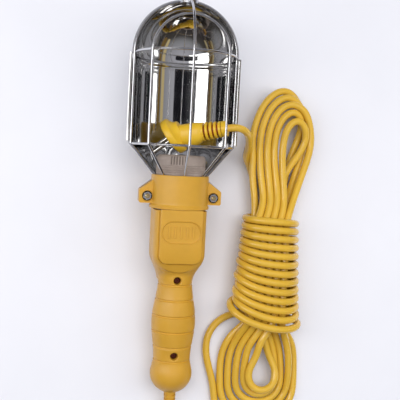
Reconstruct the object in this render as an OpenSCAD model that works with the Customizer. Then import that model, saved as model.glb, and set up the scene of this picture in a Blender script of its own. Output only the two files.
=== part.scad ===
// Hand inspection work light: split handle, clamped wire guard, half reflector,
// screw lampholder, hanging hook and a wrapped mains cord with its plug.

/* [Handle] */
// Widest radius of the rounded lower end
bulb_r = 18.2; // [17:0.1:20]
// Radius of the narrow waist above the lower end
low_waist_r = 16.0; // [14:0.1:17]
// Radius of the narrow waist below the head
waist_r = 14.8; // [13:0.1:16]
// Widest radius of the grip
grip_max_r = 19.0; // [16:0.1:20]
// Half width of the head that holds the switch
head_half_w = 22.4; // [21:0.1:25]
// Half depth of the head
head_half_d = 22.5; // [21:0.1:24]
// Height of the handle shells below the clamp
head_top = 158; // [150:1:166]
// Wall thickness of the shells
shell_wall = 2.4; // [1.8:0.1:3]

/* [Guard] */
// Wire diameter of the guard
wire_d = 2.0; // [1.6:0.1:2.6]
// Radius of the cage, to the wire centres
cage_r = 44.4; // [40:0.1:48]
// Height of the lower ring
ring_low_z = 212; // [205:1:220]
// Height of the upper ring, where the dome starts
ring_up_z = 289; // [280:1:300]
// Angle of the two front wires from the middle one
front_angle = 45; // [30:1:60]

/* [Reflector] */
// Outer radius of the reflector sheet
reflector_r = 45.5; // [42:0.1:50]
// Thickness of the reflector sheet
sheet_t = 0.8; // [0.5:0.1:1.2]
// Radius of the rolled upright edges
roll_r = 1.3; // [1:0.1:2.0]

/* [Lampholder] */
// Outer radius of the lampholder
holder_r = 21.2; // [19:0.1:22]
// Height of the lampholder mouth
holder_top = 204; // [198:1:208]
// Inside radius of the screw shell
socket_r = 13.25; // [13:0.05:13.6]

/* [Clamp] */
// Outer radius of the clamp
clamp_r = 24.6; // [24:0.1:27]
// Top of the clamp
clamp_top = 187; // [180:1:190]
// Distance of each clamp bolt from the middle
bolt_x = 28.2; // [27:0.1:30]
// Height of the clamp bolts
bolt_z = 168.8; // [165:0.1:172]

/* [Hook] */
// Wire diameter of the hook
hook_d = 3.2; // [2.5:0.1:4]
// Radius of the hook bow
hook_r = 12.5; // [9:0.5:14]

/* [Cord] */
// Diameter of the mains cord
cord_d = 6.5; // [6:0.1:8]

/* [Hidden] */

yellow = [0.93, 0.66, 0.08];
cord_yellow = [0.90, 0.68, 0.10];
steel = [0.75, 0.76, 0.78];
holder_grey = [0.72, 0.67, 0.62];
brass = [0.78, 0.62, 0.30];
black = [0.08, 0.08, 0.09];

round_n = 72;
small_n = 32;
eps = 0.01;
joint_grow = 0.08;

// the lower end of the handle is an ellipsoid of this half height
bulb_z = 15;
bulb_h = 17;
waist_z = 28.5;
grip_max_z = 60.5;
grip_top_z = 97;

// lying on its back: the reflector's lower edge and the handle's end touch the floor
lie_run = ring_low_z - bulb_z;
lie_a = atan((reflector_r - bulb_r) / lie_run);
function end_reach(a) = sqrt(pow(bulb_h * sin(a), 2) + pow(bulb_r * cos(a), 2));
function lie_step(a) = asin((reflector_r * cos(a) - end_reach(a)) / lie_run);
lie = lie_step(lie_step(lie_step(lie_a)));
lie_up = reflector_r * cos(lie) - ring_low_z * sin(lie);
lie_back = 176;

module lay() {
  translate([0, -lie_back, lie_up])
    rotate([lie - 90, 0, 0]) children();
}

// ---- small helpers ----
module rod(a, b, d) {
  v = b - a;
  l = norm(v);
  translate(a)
    rotate([0, acos(v[2] / l), atan2(v[1], v[0])])
      cylinder(h = l, d = d, $fn = 24);
}

module path_rod(pts, d) {
  for (i = [0 : len(pts) - 2]) rod(pts[i], pts[i + 1], d);
  for (i = [1 : 1 : len(pts) - 1]) translate(pts[i]) sphere(d = d + joint_grow, $fn = 24);
}

module arc_rod(r, d, angle) {
  rotate_extrude(angle = angle, $fn = round_n)
    translate([r, 0]) circle(d = d, $fn = 24);
}

module tube(r_out, r_in, h) {
  difference() {
    cylinder(h = h, r = r_out, $fn = round_n);
    translate([0, 0, -1]) cylinder(h = h + 2, r = r_in, $fn = round_n);
  }
}

function unit(v) = v / norm(v);
function tangent(p, i) = unit(p[min(i + 1, len(p) - 1)] - p[max(i - 1, 0)]);
function ring_at(p, i, r, up, n) = let (t = tangent(p, i), u = unit(cross(t, up)), w = cross(t, u))
  [for (k = [0 : n - 1]) p[i] + r * (cos(360 * k / n) * u + sin(360 * k / n) * w)];

module swept(p, d, up, n = 10) {
  m = len(p);
  polyhedron(points = [for (i = [0 : m - 1]) each ring_at(p, i, d / 2, up, n)], faces = concat(
    [[for (k = [0 : n - 1]) k]],
    [for (i = [0 : m - 2], k = [0 : n - 1]) let (a = i * n, b = (k + 1) % n)
      each [[a + k, a + n + k, a + n + b], [a + k, a + n + b, a + b]]],
    [[for (k = [n - 1 : -1 : 0]) (m - 1) * n + k]]));
}

module rounded_box(w, d, r) {
  for (x = [-1, 1], y = [-1, 1])
    translate([x * (w - r), y * (d - r)]) circle(r = r, $fn = 48);
  square([2 * w, 2 * (d - r)], center = true);
  square([2 * (w - r), 2 * d], center = true);
}

// ---- handle ----
groove_z = [28, 40.3, 53.6, 67.1, 80.7, 93.6];
groove_r = 0.9;
screw_z = [33.4, 97.9];
boss_r = 4;
screw_head_r = 2.9;
screw_r = 1.5;
grip_steps = 40;
head_low_z = 95;
head_full_z = 121;
head_corner_r = 8.5;
panel_w = 17.8;
panel_low = 113.9;
panel_high = 158.8;
panel_rise = 1.4;
badge_z = 140.1;
badge_half = 16;
badge_half_h = 8.9;
badge_depth = 0.8;
spigot_r = 22.3;
spigot_top = 167;
spigot_bore = 21;

function ease(a, b, t) = a + (b - a) * (1 - cos(180 * t)) / 2;
function grip_r(z) =
  z < bulb_z ? bulb_r * sqrt(1 - pow((bulb_z - z) / bulb_h, 2)) :
  z < waist_z ? ease(bulb_r, low_waist_r, (z - bulb_z) / (waist_z - bulb_z)) :
  z < grip_max_z ? ease(low_waist_r, grip_max_r, (z - waist_z) / (grip_max_z - waist_z)) :
  z < grip_top_z ? ease(grip_max_r, waist_r, (z - grip_max_z) / (grip_top_z - grip_max_z)) :
  waist_r;
function head_w(z) = z < head_low_z ? waist_r : z > head_full_z ? head_half_w :
  ease(waist_r, head_half_w, (z - head_low_z) / (head_full_z - head_low_z));
function head_d(z) = z < head_low_z ? waist_r : z > head_full_z ? head_half_d :
  ease(waist_r, head_half_d, (z - head_low_z) / (head_full_z - head_low_z));

module grip(inset) {
  top = 112;
  rotate_extrude($fn = round_n)
    polygon(concat([[0, inset]],
      [for (i = [0 : grip_steps])
        let (z = inset + (top - inset) * i / grip_steps) [grip_r(z) - inset, z]],
      [[0, top]]));
}

module head(inset) {
  low = 96;
  high = head_top - inset;
  steps = 12;
  zs = [for (i = [0 : steps]) low + (head_full_z - low) * i / steps];
  wide = concat([for (z = zs) [head_w(z) - inset, z]], [[head_half_w - inset, high]]);
  deep = concat([for (z = zs) [head_d(z) - inset, z]], [[head_half_d - inset, high]]);
  intersection() {
    rotate([90, 0, 0]) linear_extrude(80, center = true)
      polygon(concat(wide, [for (i = [len(wide) - 1 : -1 : 0]) [-wide[i][0], wide[i][1]]]));
    rotate([90, 0, 90]) linear_extrude(80, center = true)
      polygon(concat(deep, [for (i = [len(deep) - 1 : -1 : 0]) [-deep[i][0], deep[i][1]]]));
    linear_extrude(high)
      rounded_box(head_half_w - inset, head_half_d - inset, head_corner_r - inset);
  }
}

module panel_shape(w, low, high, r) {
  for (x = [-1, 1], z = [low + r, high - r]) translate([x * (w - r), z]) circle(r = r, $fn = 48);
  translate([-w, low + r]) square([2 * w, high - low - 2 * r]);
  translate([-w + r, low]) square([2 * (w - r), high - low]);
}

module badge_shape(half, half_h) {
  panel_shape(half, badge_z - half_h, badge_z + half_h, half_h - 0.01);
}

module switch_cutout() {
  translate([-9.1, 10, 123.9]) cube([18.2, 30, 24.2]);
}

module handle_all() {
  difference() {
    union() {
      grip(0);
      head(0);
      translate([0, 0, head_top - 1]) cylinder(h = spigot_top - head_top + 1, r = spigot_r, $fn = round_n);
      rotate([90, 0, 0]) linear_extrude(head_half_d + panel_rise) intersection() {
        panel_shape(panel_w, panel_low, panel_high + 10, 6.8);
        translate([-30, 100]) square([60, panel_high - 100]);
      }
    }
    difference() {
      union() {
        grip(shell_wall);
        head(shell_wall);
      }
      for (z = screw_z) translate([0, 0, z]) rotate([90, 0, 0])
        cylinder(h = 60, r = boss_r, center = true, $fn = small_n);
      translate([-11, 0, 12]) cube([22, 20, 5]);
    }
    translate([0, 0, head_top - shell_wall - 1]) cylinder(h = 20, r = spigot_bore, $fn = round_n);
    translate([-3.5, -3.4, 11]) cube([7, 6.8, 7]);
    for (x = [-7.5, 7.5]) translate([x, 0, 14.5]) rotate([90, 0, 0])
      cylinder(h = 20, r = 1, center = true, $fn = small_n);
    translate([0, 0, -1]) cylinder(h = shell_wall + 2, r = 5.4, $fn = 48);
    for (z = groove_z) translate([0, 0, z]) rotate_extrude($fn = round_n)
      translate([grip_r(z) + 0.1, 0]) circle(r = groove_r, $fn = 16);
    for (z = screw_z) translate([0, 0, z]) rotate([90, 0, 0]) {
      translate([0, 0, 9]) cylinder(h = 20, r = screw_head_r + 0.3, $fn = small_n);
      translate([0, 0, -9.5]) cylinder(h = 20, r = screw_r, $fn = small_n);
    }
    rotate([90, 0, 0]) translate([0, 0, head_half_d + panel_rise - badge_depth]) linear_extrude(5)
      badge_shape(badge_half, badge_half_h);
    switch_cutout();
  }
  for (x = [-10, -5, 0, 5, 10]) rotate([90, 0, 0])
    translate([x - 1, badge_z - 5, head_half_d + panel_rise - badge_depth - eps])
      cube([2, 10, badge_depth * 0.6]);
}

module half_space(side) {
  translate([-60, side < 0 ? -60 : 0, -30]) cube([120, 60, 260]);
}

module handle_front_shell() {
  color(yellow) lay() intersection() {
    handle_all();
    half_space(-1);
  }
}

module handle_rear_shell() {
  color(yellow) lay() intersection() {
    handle_all();
    half_space(1);
  }
}

module handle_screws() {
  slot = [0.9, 0.9, 4.2];
  color(steel) lay() for (z = screw_z) translate([0, 0, z]) difference() {
    rotate([90, 0, 0]) {
      translate([0, 0, 9]) cylinder(h = 1.8, r = screw_head_r, $fn = small_n);
      translate([0, 0, -9.5]) cylinder(h = 18.6, r = screw_r, $fn = small_n);
    }
    translate([-slot[2] / 2, -10.85, -slot[0] / 2]) cube([slot[2], 1, slot[0]]);
    translate([-slot[0] / 2, -10.85, -slot[2] / 2]) cube([slot[0], 1, slot[2]]);
  }
}

// ---- clamp ----
clamp_bore = 22.35;
clamp_low = 159;
ear_low = 162.7;
ear_out = 35.0;
ear_t = 7;
ear_slope_z = 174.5;
ear_top_z = 182;
nut_flat = 7;
nut_t = 3.2;
bolt_r = 2;
ear_hole_r = 2.05;
boss_rim_r = 6;

module ear_outline() {
  for (s = [-1, 1]) polygon([[s * 22.6, ear_low], [s * (ear_out - 1), ear_low], [s * ear_out, ear_low + 1],
    [s * ear_out, ear_slope_z - 1], [s * (ear_out - 0.6), ear_slope_z], [s * 22.6, ear_top_z + 0.9]]);
}

module clamp_profile() {
  polygon([[clamp_bore, clamp_low], [clamp_r + 0.9, clamp_low], [clamp_r + 1, clamp_low + 1.8],
    [clamp_r + 0.1, clamp_low + 3.6], [clamp_r, clamp_low + 5], [clamp_r, clamp_top - 0.5],
    [clamp_r - 0.5, clamp_top], [clamp_bore, clamp_top]]);
}

module clamp_half(side) {
  difference() {
    union() {
      rotate_extrude(angle = 180, $fn = round_n) clamp_profile();
      translate([0, ear_t, 0]) rotate([90, 0, 0]) linear_extrude(ear_t - 0.4) ear_outline();
    }
    translate([0, 0, clamp_low - 1]) cylinder(h = 40, r = clamp_bore, $fn = round_n);
    translate([-60, -1, clamp_low - 1]) cube([120, 1.4, 40]);
    if (side < 0) for (p = [[0, foot_r], [foot_r * sin(front_angle), foot_r * cos(front_angle)],
      [-foot_r * sin(front_angle), foot_r * cos(front_angle)], [foot_r, -wire_y], [-foot_r, -wire_y]])
      translate([p[0], p[1], foot_z - 0.2]) cylinder(h = 30, r = wire_d / 2 + 0.12, $fn = 24);
    for (x = [-bolt_x, bolt_x]) translate([x, 0, bolt_z]) rotate([-90, 0, 0]) {
      translate([0, 0, -1]) cylinder(h = 20, r = ear_hole_r, $fn = small_n);
      if (side < 0) translate([0, 0, ear_t - 3.6])
        cylinder(h = 6, d = (nut_flat + 0.2) / cos(30), $fn = 6);
      if (side > 0) translate([0, 0, ear_t - 2.6]) cylinder(h = 6, r = 3.8, $fn = small_n);
    }
  }
}

module clamp_front() {
  color(yellow) lay() mirror([0, 1, 0]) clamp_half(-1);
}

module clamp_rear() {
  color(yellow) lay() clamp_half(1);
}

module clamp_bolts() {
  color(steel) lay() for (x = [-bolt_x, bolt_x]) translate([x, 0, bolt_z]) rotate([-90, 0, 0]) {
    translate([0, 0, -ear_t - 0.2]) cylinder(h = 2 * ear_t - 2.4, r = bolt_r, $fn = small_n);
    translate([0, 0, ear_t - 2.6]) cylinder(h = 2.4, r = 3.5, $fn = small_n);
  }
}

module clamp_nuts() {
  color(steel) lay() for (x = [-bolt_x, bolt_x]) translate([x, -ear_t + 3.6, bolt_z]) rotate([90, 0, 0])
    difference() {
      cylinder(h = nut_t, d = nut_flat / cos(30), $fn = 6);
      translate([0, 0, -1]) cylinder(h = nut_t + 2, r = bolt_r, $fn = small_n);
    }
}

// ---- reflector ----
neck_r = 21.9;
neck_low = 168;
cone_low = 187;
plate_t = 0.8;
dome_steps = 10;
bead = 0.8;
dome_open = 79.6;

module sheet_profile() {
  r = reflector_r;
  dr = [for (i = [0 : dome_steps]) [r * cos(dome_open * i / dome_steps), ring_up_z + r * sin(dome_open * i / dome_steps)]];
  outer = concat([[neck_r, neck_low], [neck_r, cone_low], [r, ring_low_z], [r, 281.6], [r - bead, 283.4],
    [r - bead, 285.8], [r, 287.4]], dr);
  n = len(outer);
  q = r - sheet_t;
  di = [for (i = [dome_steps : -1 : 0]) [q * cos(dome_open * i / dome_steps), ring_up_z + q * sin(dome_open * i / dome_steps)]];
  inner = concat(di, [[q, 287.4], [q - bead, 285.8], [q - bead, 283.4], [q, 281.6], [q, ring_low_z],
    [neck_r - 0.6, cone_low], [neck_r - 0.6, neck_low]]);
  polygon(concat(outer, inner));
}

module reflector() {
  color(steel) lay() difference() {
    union() {
      rotate_extrude(angle = 180, $fn = round_n) sheet_profile();
      for (s = [-1, 1]) translate([s * (reflector_r + 0.9), 0.8 - roll_r, ring_low_z + 2])
        cylinder(h = ring_up_z - ring_low_z - 3, r = roll_r, $fn = small_n);
      translate([0, 0.35, 0]) rotate([90, 0, 0]) linear_extrude(0.7) ear_plate();
    }
    for (x = [-bolt_x, bolt_x]) translate([x, 0, bolt_z]) rotate([90, 0, 0])
      cylinder(h = 10, r = ear_hole_r, center = true, $fn = small_n);
  }
}

module ear_plate() {
  for (s = [-1, 1]) polygon([[s * 21.5, ear_low + 5.5], [s * (ear_out - 1), ear_low + 0.5],
    [s * (ear_out + 0.2), ear_low + 2], [s * (ear_out + 0.2), ear_slope_z], [s * (ear_out - 0.6), ear_slope_z + 0.7],
    [s * 24, ear_top_z + 1.5], [s * 21.5, ear_top_z + 3]]);
}

// ---- guard ----
foot_z = 172;
foot_r = neck_r + wire_d / 2;
wire_y = -1.45;
side_r = cage_r - 0.8;
ring_r = cage_r - wire_d + 0.05;
bush_r = 8;

module side_leg() {
  path_rod([[foot_r, wire_y, foot_z], [foot_r, wire_y, cone_low], [side_r, wire_y, ring_low_z],
    [side_r, wire_y, ring_up_z]], wire_d);
  translate([0, wire_y, ring_up_z]) rotate([90, 0, 0])
    arc_rod(side_r, wire_d, acos(bush_r / side_r));
}

module guard_side_hoop() {
  color(steel) lay() {
    side_leg();
    mirror([1, 0, 0]) side_leg();
  }
}

front_x = cage_r * sin(front_angle);
front_y = -cage_r * cos(front_angle);
// the front arch passes just under the middle wire
arch_z = ring_up_z - front_x + sqrt(pow(ring_r, 2) - pow(front_y, 2));

module front_leg() {
  c = sin(front_angle) * foot_r;
  path_rod([[c, -foot_r * cos(front_angle), foot_z], [c, -foot_r * cos(front_angle), cone_low],
    [front_x, front_y, ring_low_z], [front_x, front_y, arch_z]], wire_d);
}

module guard_front_hoop() {
  color(steel) lay() {
    front_leg();
    mirror([1, 0, 0]) front_leg();
    translate([0, front_y, arch_z]) rotate([90, 0, 0]) arc_rod(front_x, wire_d, 180);
  }
}

module guard_centre_wire() {
  color(steel) lay() {
    path_rod([[0, -foot_r, foot_z], [0, -foot_r, cone_low], [0, -cage_r, ring_low_z],
      [0, -cage_r, ring_up_z]], wire_d);
    translate([0, 0, ring_up_z]) rotate([90, 0, -90]) arc_rod(cage_r, wire_d, acos(bush_r / cage_r));
  }
}

module guard_ring(z) {
  translate([0, 0, z]) rotate([0, 0, 180]) arc_rod(ring_r, wire_d, 180);
}

module guard_upper_ring() {
  color(steel) lay() guard_ring(ring_up_z - 1);
}

module guard_lower_ring() {
  color(steel) lay() guard_ring(ring_low_z);
}

// ---- hook ----
bush_z = 331;
bush_h = 4.4;
boss_top = 7;

module hook_bush() {
  color(steel) lay() translate([0, 0, bush_z]) difference() {
    union() {
      cylinder(h = bush_h, r = bush_r, $fn = 48);
      cylinder(h = boss_top, r = 4.6, $fn = 48);
    }
    translate([0, 0, -1]) cylinder(h = 10, r = hook_d / 2 + 0.08, $fn = small_n);
  }
}

module hook() {
  rise = 14.5;
  bow_z = rise + hook_r + 4;
  color(steel) lay() translate([0, 0, bush_z]) {
    translate([0, 0, -1.6]) cylinder(h = 1.3, r = 3, $fn = small_n);
    translate([0, 0, -1]) cylinder(h = rise + 1, r = hook_d / 2, $fn = small_n);
    translate([0, 0, boss_top + 0.3]) cylinder(h = 1.4, r = 3, $fn = small_n);
    translate([0, 0, rise]) sphere(d = hook_d + joint_grow, $fn = small_n);
    rod([0, 0, rise], [0, 0, bow_z], hook_d);
    translate([0, 0, bow_z]) sphere(d = hook_d + joint_grow, $fn = small_n);
    translate([0, hook_r, bow_z]) rotate([90, 0, 90]) rotate([0, 0, -30])
      arc_rod(hook_r, hook_d, 210);
    translate([0, hook_r + hook_r * cos(-30), bow_z + hook_r * sin(-30)])
      sphere(d = hook_d + 1, $fn = small_n);
  }
}

// ---- lampholder ----
holder_low = 167.5;
rib_n = 24;

module lampholder_body() {
  color(holder_grey) lay() difference() {
    union() {
      rotate_extrude($fn = round_n) polygon([[15, holder_low], [holder_r - 0.35, holder_low],
        [holder_r - 0.35, 176], [holder_r, 176.5], [holder_r, 187], [holder_r - 0.6, 187.6],
        [holder_r - 0.8, 200], [holder_r - 1.4, 202.4], [holder_r - 3, holder_top],
        [14.6, holder_top], [14.4, holder_top - 1.5], [15, holder_top - 2]]);
    }
    for (i = [0 : rib_n - 1]) rotate([0, 0, i * 360 / rib_n])
      translate([holder_r - 1.1, -0.6, 189]) cube([2, 1.2, 11]);
  }
}

module thread_shell() {
  pitch = 3.6;
  color(brass) lay() {
    translate([0, 0, 172]) tube(14.2, socket_r, 28);
    for (i = [0 : 6]) translate([0, 0, 174.5 + i * pitch]) rotate_extrude($fn = round_n)
      translate([14.2, 0]) circle(r = 0.6, $fn = 12);
  }
}

module holder_base() {
  color(holder_grey) lay() difference() {
    translate([0, 0, 157.5]) cylinder(h = 10, r = 20.6, $fn = round_n);
    translate([0, 0, 161]) cylinder(h = 8, r = 14.9, $fn = round_n);
    for (x = [-10, 10]) translate([x - 3, -3, 150]) cube([6, 6, 15]);
    translate([-3, -3, 150]) cube([6, 6, 20]);
  }
}

module centre_contact() {
  color(brass) lay() {
    translate([-2.9, -2.9, 153]) cube([5.8, 5.8, 9]);
    translate([-2.9, -2.9, 161.8]) cube([5.8, 0.6, 8]);
    translate([-2.9, -2.9, 169.6]) cube([5.8, 8, 0.6]);
    translate([0, 1.5, 170]) cylinder(h = 1.2, r = 2.2, $fn = small_n);
  }
}

module holder_terminals() {
  color(brass) lay() {
    for (x = [-10, 10]) translate([x - 2.9, -2.9, 153]) cube([5.8, 5.8, 9]);
    for (x = [-12.9, 12.3]) translate([x, -2.9, 161.8]) cube([0.6, 5.8, 8.2]);
    for (s = [-1, 1]) translate([s * 12.6 - 0.9, -2.9, 169.4]) cube([1.8, 5.8, 2.6]);
  }
}

module terminal_screws() {
  color(steel) lay() for (x = [-10, 0, 10]) translate([x, -2.9, 155.5]) rotate([90, 0, 0]) {
    cylinder(h = 2.2, r = 1.9, $fn = small_n);
  }
}

// ---- switch ----
pivot_y = 19.6;
pivot_z = 136;
rocker_lean = 7;

module switch_housing() {
  color(black) lay() difference() {
    union() {
      translate([-9, 5, 124]) cube([18, 17.6, 24]);
      translate([-11, head_half_d, 122]) cube([22, 1.4, 28]);
    }
    translate([-7.7, 13.5, 125.4]) cube([15.4, 20, 21.2]);
    translate([0, pivot_y, pivot_z]) rotate([0, 90, 0])
      cylinder(h = 17.2, r = 1.26, center = true, $fn = small_n);
    for (z = [130, 142]) translate([-2.5, 4, z - 0.45]) cube([5, 12, 0.9]);
  }
}

module switch_contacts() {
  color(brass) lay() for (z = [130, 142]) {
    translate([-2.4, 0.5, z - 0.4]) cube([4.8, 13, 0.8]);
    translate([0, 13.4, z]) rotate([-90, 0, 0]) cylinder(h = 0.7, r = 1.6, $fn = small_n);
  }
}

module rocker_profile() {
  polygon([[-1.6, -9.4], [4.6, -9.4], [5.5, -9.0], [4.1, 0], [5.5, 9.0], [4.6, 9.4], [-1.6, 9.4],
    [-3.2, 3], [-3.2, -3]]);
}

module switch_rocker() {
  color(black) lay() translate([0, pivot_y, pivot_z]) rotate([-rocker_lean, 0, 0]) {
    rotate([90, 0, 90]) linear_extrude(14.7, center = true) rocker_profile();
    rotate([0, 90, 0]) cylinder(h = 16.8, r = 1.2, center = true, $fn = small_n);
    for (z = [-6.5, 6.5]) translate([-3, 4.9, z - 0.6]) cube([6, 0.8, 1.2]);
  }
}

// ---- wiring ----
lead_d = 2.2;

module neutral_wire() {
  color([0.15, 0.30, 0.70]) lay() swept([[-1.5, 0, 22], [-6.6, 0, 27], [-6.6, 0, 60], [-6.6, 0, 104],
    [-13, 0, 122], [-13, 0, 146], [-10, 0, 153]], lead_d, [0, 1, 0]);
}

module live_wire() {
  color([0.45, 0.25, 0.12]) lay() swept([[1.5, 0, 22], [6.6, 0, 27], [6.6, 0, 60], [6.6, 0, 104],
    [4, -0.8, 122], [1, -0.7, 130]], lead_d, [0, 1, 0]);
}

module switched_wire() {
  color([0.45, 0.25, 0.12]) lay() swept([[1, -0.7, 142], [0.5, -1.5, 147], [0, -0.5, 153]], lead_d,
    [1, 0, 0]);
}

// ---- cord entry ----
gland_low = -22;

module cord_clamp_bar() {
  color(steel) lay() difference() {
    translate([-10.6, -5.2, 12]) cube([21.2, 1.85, 5]);
    for (x = [-7.5, 7.5]) translate([x, 0, 14.5]) rotate([90, 0, 0])
      cylinder(h = 20, r = 1.1, $fn = small_n);
  }
}

module cord_clamp_screws() {
  color(steel) lay() for (x = [-7.5, 7.5]) translate([x, -5.2, 14.5]) rotate([-90, 0, 0]) {
    cylinder(h = 12, r = 1, $fn = small_n);
    translate([0, 0, -1.6]) cylinder(h = 1.6, r = 1.9, $fn = small_n);
  }
}

module strain_relief() {
  bore = cord_d / 2 + 0.05;
  color(yellow) lay() difference() {
    rotate_extrude($fn = 48) polygon([[bore, gland_low], [4.6, gland_low], [5.3, -1.2], [5.35, 2.6],
      [7.6, 2.7], [7.6, 5], [bore, 5]]);
    for (i = [0 : 4]) translate([0, 0, -4.5 - i * 3.5]) difference() {
      cylinder(h = 1.4, r = 8, $fn = 48);
      cylinder(h = 1.4, r = 4.25, $fn = 48);
    }
  }
}

module inner_cord() {
  color(cord_yellow) lay() translate([0, 0, gland_low]) cylinder(h = 22 - gland_low, d = cord_d, $fn = small_n);
}

// ---- cord ----
// centre line of the cord from the handle to the hank, on the floor
gland_out = [0, -lie_back + gland_low * cos(lie), lie_up + gland_low * sin(lie)];
tail_pts = concat([gland_out, gland_out + 4 * [0, -cos(lie), -sin(lie)]],
  [[0, -212, 10.2], [2, -226, 6.6], [7, -239, 4.6], [16, -248, 3.4], [27, -249, 3.3], [37, -242, 3.3],
  [43, -230, 3.3], [45, -216, 3.3], [44, -202, 3.3], [42, -188, 3.3], [41, -174, 3.3],
  [37, -160, 3.3], [33.5, -147, 3.3], [34, -134, 3.6], [39, -123, 4.5], [46, -115, 6], [55, -108, 8]]);
// centre line from the hank up over the reflector's edge to the plug
lead_pts = [[68, 24, 23], [67.5, 31, 29], [66, 38, 36], [62, 44, 43.5], [56, 48, 50], [50, 50.2, 53.7],
  [44, 50.7, 53.9], [38.3, 50.1, 51.6]];

module cord_tail() {
  color(cord_yellow) swept(tail_pts, cord_d, [0, 0, 1]);
}

module cord_lead() {
  color(cord_yellow) swept(lead_pts, cord_d, [1, 1, 0]);
}

wrap_top = 37;
loop_top = 26;

module cord_hank() {
  color(cord_yellow) difference() {
    linear_extrude(wrap_top) polygon([[46, -104], [50, -80], [54, -53], [56, -30], [64, -24], [66, -12],
      [66, 25], [64, 42], [64, 62], [72, 84], [86, 98], [101, 101], [115, 97], [125, 84], [128, 66],
      [127, 40], [121, 4], [117, -20], [117, -52], [118, -100], [120, -128], [119, -150], [119, -170],
      [117, -186], [108, -200], [92, -207], [74, -206], [57, -199], [48, -188], [46, -172],
      [42.8, -156], [42.8, -141], [46, -128]]);
    translate([-10, -24, loop_top]) cube([200, 160, 20]);
    translate([-10, -240, loop_top]) cube([200, 108, 20]);
  }
}

// ---- plug ----
// the plug hangs inside the cage with its boot over the reflector's right edge
plug_at = [-5.5, 14, 220.3];
plug_dir = [43.4, -18.5, 8.5];
plug_len = norm(plug_dir);
face_tilt = -26;
pin_twist = 20;
pin_r = 2.0;
pin_len = 19;
pin_gap = 19;
face_r = 16.5;
face_t = 7;
slot_pitch = 3.8;

module plug_place() {
  lay() translate(plug_at)
    rotate([0, acos(plug_dir[2] / plug_len), atan2(plug_dir[1], plug_dir[0])]) children();
}

module plug_body() {
  color(yellow) plug_place() difference() {
    union() {
      rotate([0, face_tilt, 0]) translate([0, 0, -face_t / 2]) cylinder(h = face_t, r = face_r, $fn = 48);
      rotate([0, face_tilt, 0]) cylinder(h = 11, r1 = 13, r2 = 9, $fn = 48);
      translate([0, 0, 1]) cylinder(h = 24, r = 8.8, $fn = 48);
      translate([0, 0, 24]) cylinder(h = plug_len - 24, r1 = 8.4, r2 = 6.6, $fn = 48);
      translate([5, 0, 9]) rotate([0, 12, 0]) cylinder(h = 15, r = 5.4, $fn = 48);
    }
    for (i = [0 : 3]) translate([0, 0, 27.4 + i * slot_pitch]) difference() {
      cylinder(h = 1.5, r = 12, $fn = 48);
      cylinder(h = 1.5, r = 4.6, $fn = 48);
    }
  }
}

module plug_pins() {
  color(brass) plug_place() rotate([0, face_tilt, 0]) rotate([0, 0, pin_twist]) for (s = [-1, 1])
    translate([0, s * pin_gap / 2, -face_t / 2 - pin_len]) {
      cylinder(h = 0.5, r = pin_r - 0.4, $fn = small_n);
      translate([0, 0, 0.5]) cylinder(h = pin_len - 0.5, r = pin_r, $fn = small_n);
    }
}

handle_front_shell();
handle_rear_shell();
handle_screws();
clamp_front();
clamp_rear();
clamp_bolts();
clamp_nuts();
reflector();
guard_side_hoop();
guard_front_hoop();
guard_centre_wire();
guard_upper_ring();
guard_lower_ring();
hook_bush();
hook();
lampholder_body();
thread_shell();
holder_base();
centre_contact();
holder_terminals();
terminal_screws();
switch_housing();
switch_contacts();
switch_rocker();
live_wire();
neutral_wire();
switched_wire();
cord_clamp_bar();
cord_clamp_screws();
strain_relief();
inner_cord();
cord_tail();
cord_hank();
cord_lead();
plug_body();
plug_pins();
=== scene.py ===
"""Hand inspection work light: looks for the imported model, in metres, in the row frame."""
import math

import bmesh
import bpy
import numpy as np
from mathutils import Matrix, Vector
from mathutils.geometry import tessellate_polygon


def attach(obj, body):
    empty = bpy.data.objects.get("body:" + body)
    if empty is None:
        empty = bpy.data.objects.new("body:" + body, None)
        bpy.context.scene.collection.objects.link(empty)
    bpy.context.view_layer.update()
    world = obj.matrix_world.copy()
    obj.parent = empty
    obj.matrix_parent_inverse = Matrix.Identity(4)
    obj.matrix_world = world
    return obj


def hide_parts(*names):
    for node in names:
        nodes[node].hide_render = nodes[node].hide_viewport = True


MM = 0.001
D = 6.5  # the cord's thickness, in millimetres

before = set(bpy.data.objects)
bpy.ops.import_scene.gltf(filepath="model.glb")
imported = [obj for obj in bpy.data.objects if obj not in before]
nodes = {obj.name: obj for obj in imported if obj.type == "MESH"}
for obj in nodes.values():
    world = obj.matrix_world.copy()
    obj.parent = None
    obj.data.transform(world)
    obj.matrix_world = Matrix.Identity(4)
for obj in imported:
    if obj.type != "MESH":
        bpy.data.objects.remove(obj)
scene = bpy.context.scene
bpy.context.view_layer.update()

# how the lamp lies: tipped about X, its own axis running from the handle's end to the dome
LIE = math.radians(7.846863711435828)
LAY = Matrix.Translation((0, -0.176, 0.016130473)) @ Matrix.Rotation(LIE - math.pi / 2, 4, "X")


# ---- camera ----
def place_camera():
    cam = bpy.data.cameras.new("camera")
    obj = bpy.data.objects.new("camera", cam)
    scene.collection.objects.link(obj)
    cam.sensor_width = 36.0
    focal_pixels, picture_pixels = 708.889, 400.0
    cam.lens = focal_pixels / picture_pixels * cam.sensor_width
    cam.clip_start = 0.02
    cam.clip_end = 20
    turn = Matrix((
        (0.98496608, -0.03896961, -0.16829493),
        (0.02820766, 0.99742933, -0.06587151),
        (0.17042929, 0.060134, 0.9835333))).to_4x4()
    obj.matrix_world = Matrix.Translation((-0.0846141, -0.0514162, 0.6391721)) @ turn
    scene.camera = obj


place_camera()


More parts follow.
